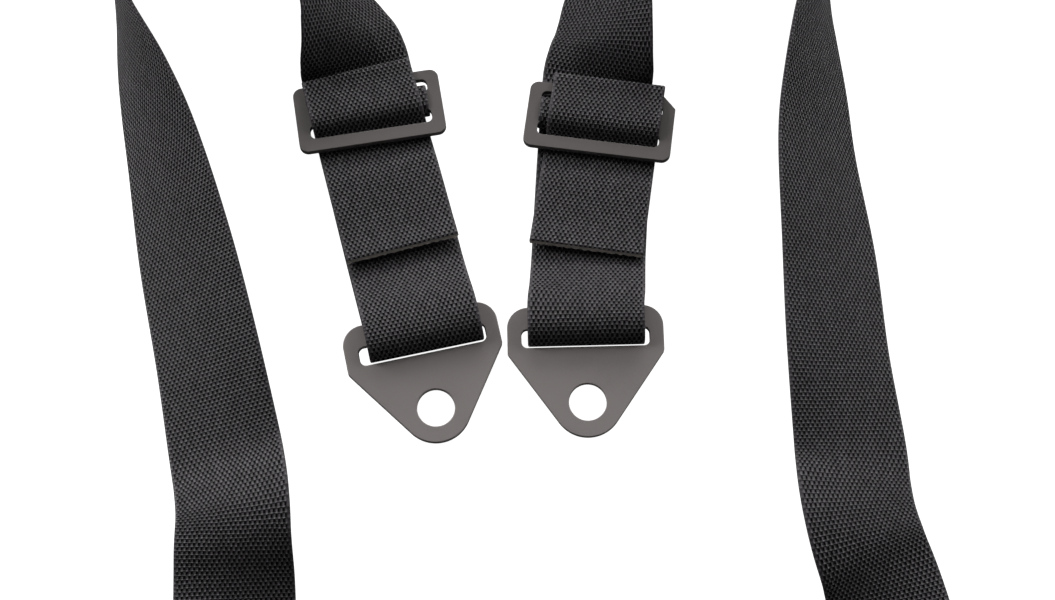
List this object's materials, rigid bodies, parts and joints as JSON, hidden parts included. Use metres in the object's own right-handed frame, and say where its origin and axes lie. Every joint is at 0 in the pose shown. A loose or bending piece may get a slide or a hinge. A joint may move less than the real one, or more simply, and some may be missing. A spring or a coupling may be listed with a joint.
{
  "type": "racing harness",
  "caption": "Multi-point racing harness laid out flat: black webbing straps with three-bar slides and bolt-in plates, joined at a rotary cam-lock buckle.",
  "frame": {"origin": "centre of the buckle's back face", "axes": "+Y along the harness, from the anchor plates towards the shoulder bends; +Z out of the buckle's front; +X to the right seen from the front"},
  "size_m": [0.4232, 1.037, 0.0505],
  "materials": {
    "webbing": "woven polyester, matt black",
    "plate_steel": "satin grey phosphate",
    "slide_steel": "satin black",
    "tongue_steel": "satin grey phosphate",
    "adjuster_steel": "satin black",
    "pad": "matt",
    "housing": "satin black",
    "dial": "satin black, anodised",
    "cap": "satin grey",
    "mechanism": "bright zinc"
  },
  "bodies": {
    "harness": {"back_pad": "pad", "buckle_base": "housing", "latch_plate": "mechanism", "buckle_cover": "housing", "cover_screws": "mechanism", "return_spring": "mechanism", "fixed_tongue_rivet": "mechanism", "lap_pin_spring": "mechanism", "shoulder_pin_spring_right": "mechanism", "shoulder_pin_spring_left": "mechanism", "lap_tongue_left": "tongue_steel", "lap_tongue_right": "tongue_steel", "shoulder_tongue_left": "tongue_steel", "shoulder_tongue_right": "tongue_steel", "adjuster_crossbar_left": "adjuster_steel", "adjuster_crossbar_right": "adjuster_steel", "lap_strap_left": "webbing", "lap_strap_right": "webbing", "shoulder_strap_left": "webbing", "shoulder_strap_right": "webbing"},
    "dial": {"spindle": "mechanism", "cam_ring": "mechanism", "release_dial": "dial", "dial_cap": "cap"},
    "lap_lock_pin": {"lap_pin": "mechanism"},
    "shoulder_lock_pin_left": {"shoulder_pin_left": "mechanism"},
    "shoulder_lock_pin_right": {"shoulder_pin_right": "mechanism"},
    "adjuster_grip_left": {"adjuster_bar_left": "adjuster_steel"},
    "adjuster_grip_right": {"adjuster_bar_right": "adjuster_steel"},
    "lap_left_slider": {"lap_slide_left": "slide_steel", "lap_tail_left": "webbing"},
    "lap_left_anchor": {"lap_plate_left": "plate_steel"},
    "lap_right_slider": {"lap_slide_right": "slide_steel", "lap_tail_right": "webbing"},
    "lap_right_anchor": {"lap_plate_right": "plate_steel"},
    "shoulder_left_slider": {"shoulder_slide_left": "slide_steel", "shoulder_tail_left": "webbing"},
    "shoulder_left_anchor": {"shoulder_plate_left": "plate_steel"},
    "shoulder_right_slider": {"shoulder_slide_right": "slide_steel", "shoulder_tail_right": "webbing"},
    "shoulder_right_anchor": {"shoulder_plate_right": "plate_steel"}
  },
  "joints": [
    {"name": "release_dial_turn", "type": "hinge", "parent": "harness", "child": "dial", "pos_m": [0, 0, 0.027], "axis": [0, 0, 1], "range_deg": [0, 22], "stiffness_Nm_per_rad": 0.6, "springref_deg": -11.46},
    {"name": "lap_pin_lift", "type": "slide", "parent": "harness", "child": "lap_lock_pin", "axis": [0, 0, 1], "range_m": [0, 0.0042], "deforming": ["lap_pin_spring"]},
    {"name": "shoulder_pin_left_lift", "type": "slide", "parent": "harness", "child": "shoulder_lock_pin_left", "axis": [0, 0, 1], "range_m": [0, 0.0042], "deforming": ["shoulder_pin_spring_left"]},
    {"name": "shoulder_pin_right_lift", "type": "slide", "parent": "harness", "child": "shoulder_lock_pin_right", "axis": [0, 0, 1], "range_m": [0, 0.0042], "deforming": ["shoulder_pin_spring_right"]},
    {"name": "lap_left_slide_travel", "type": "slide", "parent": "harness", "child": "lap_left_slider", "axis": [-0.2298, 0.9732, 0], "range_m": [-0.005, 0.002]},
    {"name": "lap_right_slide_travel", "type": "slide", "parent": "harness", "child": "lap_right_slider", "axis": [0.0823, 0.9966, 0], "range_m": [-0.005, 0.002]},
    {"name": "shoulder_left_slide_travel", "type": "slide", "parent": "harness", "child": "shoulder_left_slider", "axis": [0, 1, 0], "range_m": [-0.005, 0.002]},
    {"name": "shoulder_right_slide_travel", "type": "slide", "parent": "harness", "child": "shoulder_right_slider", "axis": [-0.2269, 0.9739, 0], "range_m": [-0.005, 0.002]},
    {"name": "lap_left_plate_swing", "type": "hinge", "parent": "harness", "child": "lap_left_anchor", "pos_m": [-0.0257, -0.4574, 0.0071], "axis": [-0.9763, -0.2164, 0], "range_deg": [0, 90]},
    {"name": "lap_right_plate_swing", "type": "hinge", "parent": "harness", "child": "lap_right_anchor", "pos_m": [0.0456, -0.454, 0.0071], "axis": [-0.9997, -0.0262, 0], "range_deg": [0, 90]},
    {"name": "shoulder_left_plate_swing", "type": "hinge", "parent": "harness", "child": "shoulder_left_anchor", "pos_m": [-0.098, -0.733, 0.0071], "axis": [-1, 0, 0], "range_deg": [0, 90]},
    {"name": "shoulder_right_plate_swing", "type": "hinge", "parent": "harness", "child": "shoulder_right_anchor", "pos_m": [0.204, -0.729, 0.0071], "axis": [-0.9744, -0.225, 0], "range_deg": [0, 90]},
    {"name": "adjuster_grip_left_slide", "type": "slide", "parent": "harness", "child": "adjuster_grip_left", "axis": [0.4226, -0.9063, 0], "range_m": [0, 0.002]},
    {"name": "adjuster_grip_right_slide", "type": "slide", "parent": "harness", "child": "adjuster_grip_right", "axis": [-0.4226, -0.9063, 0], "range_m": [0, 0.002]}
  ],
  "couplings": [
    {"joint": "lap_pin_lift", "follows": "release_dial_turn", "m_per_rad": 0.0109},
    {"joint": "shoulder_pin_left_lift", "follows": "release_dial_turn", "m_per_rad": 0.0109},
    {"joint": "shoulder_pin_right_lift", "follows": "release_dial_turn", "m_per_rad": 0.0109}
  ]
}
